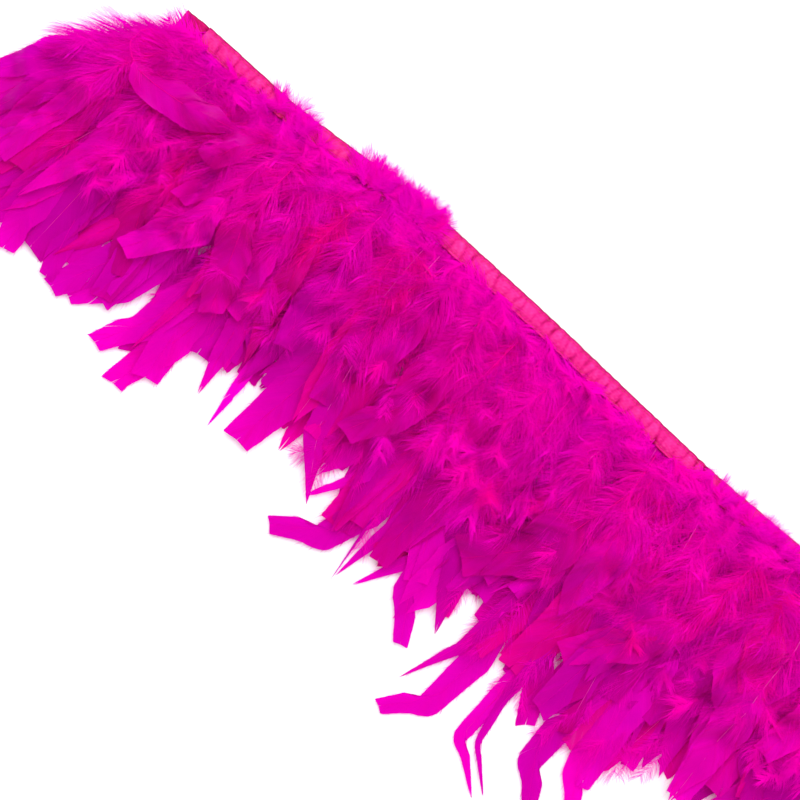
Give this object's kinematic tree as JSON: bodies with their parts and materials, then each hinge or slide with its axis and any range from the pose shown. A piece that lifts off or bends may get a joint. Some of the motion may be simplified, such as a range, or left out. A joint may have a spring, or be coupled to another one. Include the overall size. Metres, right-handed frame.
{
  "type": "feather fringe trim",
  "caption": "Narrow satin-ribbon trim with a swinging fringe of long dyed feathers, downy at the root and flat at the tips.",
  "frame": {"origin": "on the outer face of the back ribbon, at the middle of its length and width", "axes": "+X along the ribbons from the end with the bare ribbon tail, -Y towards the feather tips, +Z out of the front"},
  "size_m": [0.9652, 0.18, 0.0299],
  "materials": {
    "satin_ribbon": "satin",
    "quill": "satin",
    "sewing_thread": "matte",
    "front_feathers": "matte",
    "back_feathers": "matte"
  },
  "bodies": {
    "header": {"back_ribbon": "satin_ribbon", "front_ribbon": "satin_ribbon", "quill_butts": "quill", "stringing_thread": "sewing_thread", "upper_stitches_front": "sewing_thread", "upper_stitches_back": "sewing_thread", "lower_stitches_front": "sewing_thread", "lower_stitches_back": "sewing_thread"},
    "front_row_01": {"front_bunch_01": "front_feathers", "front_bunch_02": "front_feathers"},
    "front_row_02": {"front_bunch_03": "front_feathers", "front_bunch_04": "front_feathers"},
    "front_row_03": {"front_bunch_05": "front_feathers", "front_bunch_06": "front_feathers"},
    "front_row_04": {"front_bunch_07": "front_feathers", "front_bunch_08": "front_feathers"},
    "front_row_05": {"front_bunch_09": "front_feathers", "front_bunch_10": "front_feathers"},
    "front_row_06": {"front_bunch_11": "front_feathers", "front_bunch_12": "front_feathers"},
    "front_row_07": {"front_bunch_13": "front_feathers", "front_bunch_14": "front_feathers"},
    "front_row_08": {"front_bunch_15": "front_feathers", "front_bunch_16": "front_feathers"},
    "front_row_09": {"front_bunch_17": "front_feathers", "front_bunch_18": "front_feathers"},
    "front_row_10": {"front_bunch_19": "front_feathers", "front_bunch_20": "front_feathers"},
    "front_row_11": {"front_bunch_21": "front_feathers", "front_bunch_22": "front_feathers"},
    "front_row_12": {"front_bunch_23": "front_feathers", "front_bunch_24": "front_feathers"},
    "back_row_01": {"back_bunch_01": "back_feathers", "back_bunch_02": "back_feathers"},
    "back_row_02": {"back_bunch_03": "back_feathers", "back_bunch_04": "back_feathers"},
    "back_row_03": {"back_bunch_05": "back_feathers", "back_bunch_06": "back_feathers"},
    "back_row_04": {"back_bunch_07": "back_feathers", "back_bunch_08": "back_feathers"},
    "back_row_05": {"back_bunch_09": "back_feathers", "back_bunch_10": "back_feathers"},
    "back_row_06": {"back_bunch_11": "back_feathers", "back_bunch_12": "back_feathers"},
    "back_row_07": {"back_bunch_13": "back_feathers", "back_bunch_14": "back_feathers"},
    "back_row_08": {"back_bunch_15": "back_feathers", "back_bunch_16": "back_feathers"},
    "back_row_09": {"back_bunch_17": "back_feathers", "back_bunch_18": "back_feathers"},
    "back_row_10": {"back_bunch_19": "back_feathers", "back_bunch_20": "back_feathers"},
    "back_row_11": {"back_bunch_21": "back_feathers", "back_bunch_22": "back_feathers"},
    "back_row_12": {"back_bunch_23": "back_feathers", "back_bunch_24": "back_feathers"}
  },
  "joints": [
    {"name": "front_row_01_swing", "type": "hinge", "parent": "header", "child": "front_row_01", "pos_m": [-0.41892, -0.005, 0.0017], "axis": [-1, 0, 0], "range_deg": [0, 100]},
    {"name": "front_row_02_swing", "type": "hinge", "parent": "header", "child": "front_row_02", "pos_m": [-0.34275, -0.005, 0.0017], "axis": [-1, 0, 0], "range_deg": [0, 100]},
    {"name": "front_row_03_swing", "type": "hinge", "parent": "header", "child": "front_row_03", "pos_m": [-0.26658, -0.005, 0.0017], "axis": [-1, 0, 0], "range_deg": [0, 100]},
    {"name": "front_row_04_swing", "type": "hinge", "parent": "header", "child": "front_row_04", "pos_m": [-0.19042, -0.005, 0.0017], "axis": [-1, 0, 0], "range_deg": [0, 100]},
    {"name": "front_row_05_swing", "type": "hinge", "parent": "header", "child": "front_row_05", "pos_m": [-0.11425, -0.005, 0.0017], "axis": [-1, 0, 0], "range_deg": [0, 100]},
    {"name": "front_row_06_swing", "type": "hinge", "parent": "header", "child": "front_row_06", "pos_m": [-0.03808, -0.005, 0.0017], "axis": [-1, 0, 0], "range_deg": [0, 100]},
    {"name": "front_row_07_swing", "type": "hinge", "parent": "header", "child": "front_row_07", "pos_m": [0.03808, -0.005, 0.0017], "axis": [-1, 0, 0], "range_deg": [0, 100]},
    {"name": "front_row_08_swing", "type": "hinge", "parent": "header", "child": "front_row_08", "pos_m": [0.11425, -0.005, 0.0017], "axis": [-1, 0, 0], "range_deg": [0, 100]},
    {"name": "front_row_09_swing", "type": "hinge", "parent": "header", "child": "front_row_09", "pos_m": [0.19042, -0.005, 0.0017], "axis": [-1, 0, 0], "range_deg": [0, 100]},
    {"name": "front_row_10_swing", "type": "hinge", "parent": "header", "child": "front_row_10", "pos_m": [0.26658, -0.005, 0.0017], "axis": [-1, 0, 0], "range_deg": [0, 100]},
    {"name": "front_row_11_swing", "type": "hinge", "parent": "header", "child": "front_row_11", "pos_m": [0.34275, -0.005, 0.0017], "axis": [-1, 0, 0], "range_deg": [0, 100]},
    {"name": "front_row_12_swing", "type": "hinge", "parent": "header", "child": "front_row_12", "pos_m": [0.41892, -0.005, 0.0017], "axis": [-1, 0, 0], "range_deg": [0, 100]},
    {"name": "back_row_01_swing", "type": "hinge", "parent": "header", "child": "back_row_01", "pos_m": [-0.41892, -0.005, 0.0017], "axis": [1, 0, 0], "range_deg": [0, 100]},
    {"name": "back_row_02_swing", "type": "hinge", "parent": "header", "child": "back_row_02", "pos_m": [-0.34275, -0.005, 0.0017], "axis": [1, 0, 0], "range_deg": [0, 100]},
    {"name": "back_row_03_swing", "type": "hinge", "parent": "header", "child": "back_row_03", "pos_m": [-0.26658, -0.005, 0.0017], "axis": [1, 0, 0], "range_deg": [0, 100]},
    {"name": "back_row_04_swing", "type": "hinge", "parent": "header", "child": "back_row_04", "pos_m": [-0.19042, -0.005, 0.0017], "axis": [1, 0, 0], "range_deg": [0, 100]},
    {"name": "back_row_05_swing", "type": "hinge", "parent": "header", "child": "back_row_05", "pos_m": [-0.11425, -0.005, 0.0017], "axis": [1, 0, 0], "range_deg": [0, 100]},
    {"name": "back_row_06_swing", "type": "hinge", "parent": "header", "child": "back_row_06", "pos_m": [-0.03808, -0.005, 0.0017], "axis": [1, 0, 0], "range_deg": [0, 100]},
    {"name": "back_row_07_swing", "type": "hinge", "parent": "header", "child": "back_row_07", "pos_m": [0.03808, -0.005, 0.0017], "axis": [1, 0, 0], "range_deg": [0, 100]},
    {"name": "back_row_08_swing", "type": "hinge", "parent": "header", "child": "back_row_08", "pos_m": [0.11425, -0.005, 0.0017], "axis": [1, 0, 0], "range_deg": [0, 100]},
    {"name": "back_row_09_swing", "type": "hinge", "parent": "header", "child": "back_row_09", "pos_m": [0.19042, -0.005, 0.0017], "axis": [1, 0, 0], "range_deg": [0, 100]},
    {"name": "back_row_10_swing", "type": "hinge", "parent": "header", "child": "back_row_10", "pos_m": [0.26658, -0.005, 0.0017], "axis": [1, 0, 0], "range_deg": [0, 100]},
    {"name": "back_row_11_swing", "type": "hinge", "parent": "header", "child": "back_row_11", "pos_m": [0.34275, -0.005, 0.0017], "axis": [1, 0, 0], "range_deg": [0, 100]},
    {"name": "back_row_12_swing", "type": "hinge", "parent": "header", "child": "back_row_12", "pos_m": [0.41892, -0.005, 0.0017], "axis": [1, 0, 0], "range_deg": [0, 100]}
  ]
}
